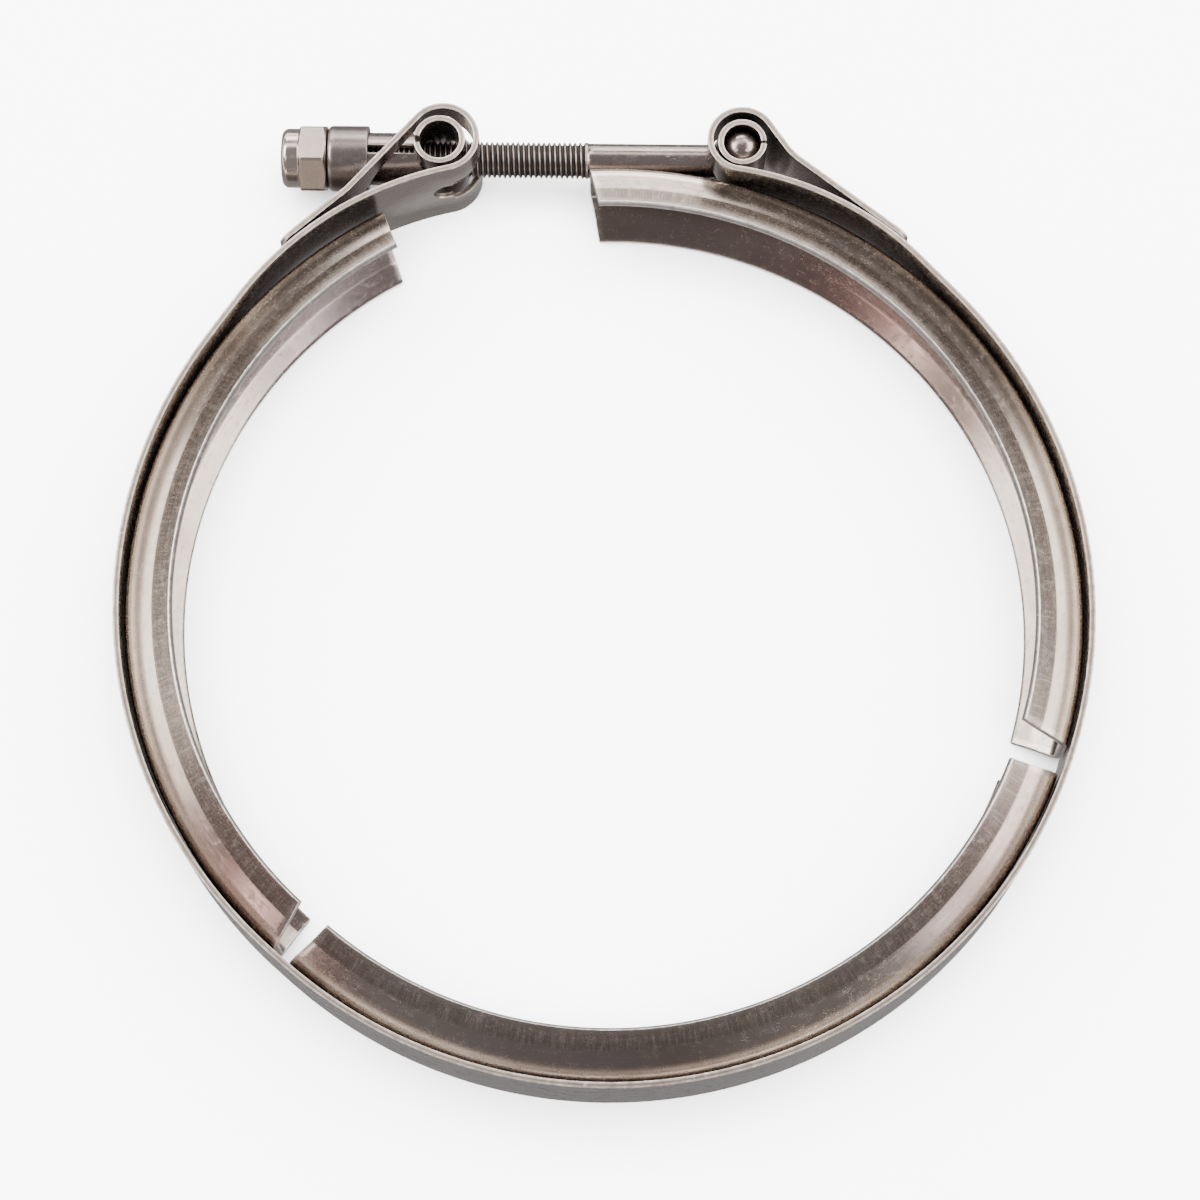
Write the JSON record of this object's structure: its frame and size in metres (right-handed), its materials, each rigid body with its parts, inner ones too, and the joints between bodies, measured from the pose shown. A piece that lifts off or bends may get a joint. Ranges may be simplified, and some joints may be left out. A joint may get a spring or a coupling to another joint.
{
  "type": "v band clamp",
  "caption": "T-bolt V band clamp: a folded steel strap with V retainer segments inside, a T-bolt in a rolled sleeve, a trunnion and a lock nut.",
  "frame": {"origin": "centre of the clamping ring at mid width", "axes": "+Z along the ring's axis, the bolt lies on the +Y side and runs along X with its nut at -X"},
  "size_m": [0.1628, 0.17, 0.019],
  "materials": {
    "strap_steel": "satin",
    "retainer_steel": "satin, heat tinted",
    "bolt_steel": "satin",
    "rolled_steel": "satin",
    "cup_steel": "satin",
    "nut_steel": "bright",
    "nylon": "matte"
  },
  "bodies": {
    "base": {"strap": "strap_steel", "retainer_middle": "retainer_steel"},
    "left_arm": {"retainer_left": "retainer_steel"},
    "right_arm": {"retainer_right": "retainer_steel", "t_bolt": "bolt_steel", "bolt_sleeve": "rolled_steel"},
    "trunnion": {"trunnion": "rolled_steel", "trunnion_cup": "cup_steel"},
    "nut_slide": {"locking_ring": "nylon"},
    "nut": {"lock_nut": "nut_steel"}
  },
  "joints": [
    {"name": "flex_left", "type": "hinge", "parent": "base", "child": "left_arm", "pos_m": [-0.05379, -0.05881, 0], "axis": [0, 0, -1], "range_deg": [0, 2.1], "deforming": ["strap"]},
    {"name": "flex_right", "type": "hinge", "parent": "base", "child": "right_arm", "pos_m": [0.07536, -0.02595, 0], "axis": [0, 0, 1], "range_deg": [0, 0.54], "deforming": ["strap"]},
    {"name": "trunnion_pivot", "type": "hinge", "parent": "left_arm", "child": "trunnion", "pos_m": [-0.02941, 0.08319, 0], "axis": [0, 0, 1], "range_deg": [0, 2.64]},
    {"name": "nut_travel", "type": "slide", "parent": "right_arm", "child": "nut_slide", "axis": [0.9999, -0.01, 0], "range_m": [0, 0.00621]},
    {"name": "nut_spin", "type": "hinge", "parent": "nut_slide", "child": "nut", "pos_m": [-0.05341, 0.08343, 0], "axis": [0.9999, -0.01, 0], "range_deg": [0, 2465.9]}
  ],
  "couplings": [
    {"joint": "nut_spin", "follows": "nut_travel", "rad_per_m": 6926.3},
    {"joint": "flex_left", "follows": "nut_travel", "rad_per_m": 5.9005},
    {"joint": "flex_right", "follows": "nut_travel", "rad_per_m": 1.5173},
    {"joint": "trunnion_pivot", "follows": "nut_travel", "rad_per_m": 7.4178}
  ]
}
